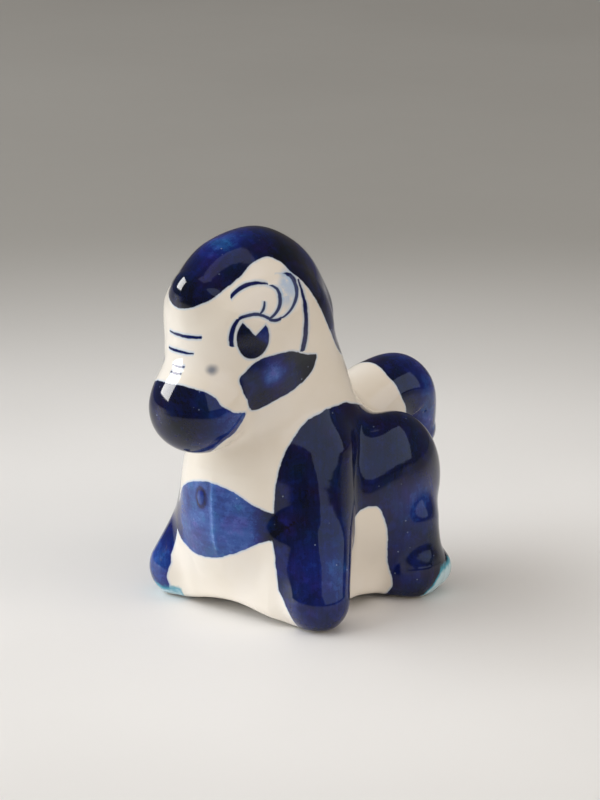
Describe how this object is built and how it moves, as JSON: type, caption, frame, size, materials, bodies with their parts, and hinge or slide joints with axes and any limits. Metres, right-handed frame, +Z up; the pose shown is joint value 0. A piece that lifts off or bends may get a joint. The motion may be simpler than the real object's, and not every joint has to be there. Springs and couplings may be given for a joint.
{
  "type": "ceramic foal figurine",
  "caption": "Small glazed ceramic foal with a rounded body, stubby feet, a raised forelock and mane and a curled tail, painted cobalt on white",
  "frame": {"origin": "on the ground plane, under the middle of the figurine's bounding box", "axes": "+Z up, the muzzle points to -Y, the animal's left side is +X"},
  "size_m": [0.0306, 0.0498, 0.0484],
  "materials": {
    "white_glaze": "clear gloss glaze over warm white clay",
    "cobalt_glaze": "clear gloss glaze over brushed cobalt underglaze"
  },
  "bodies": {
    "root": {"body_shell_left": "white_glaze", "body_shell_right": "white_glaze", "head_shell_left": "white_glaze", "head_shell_right": "white_glaze", "forelock": "cobalt_glaze", "mane": "cobalt_glaze", "front_leg_left": "cobalt_glaze", "front_leg_right": "cobalt_glaze", "hind_leg_left": "cobalt_glaze", "hind_leg_right": "cobalt_glaze", "tail": "cobalt_glaze"}
  },
  "joints": []
}
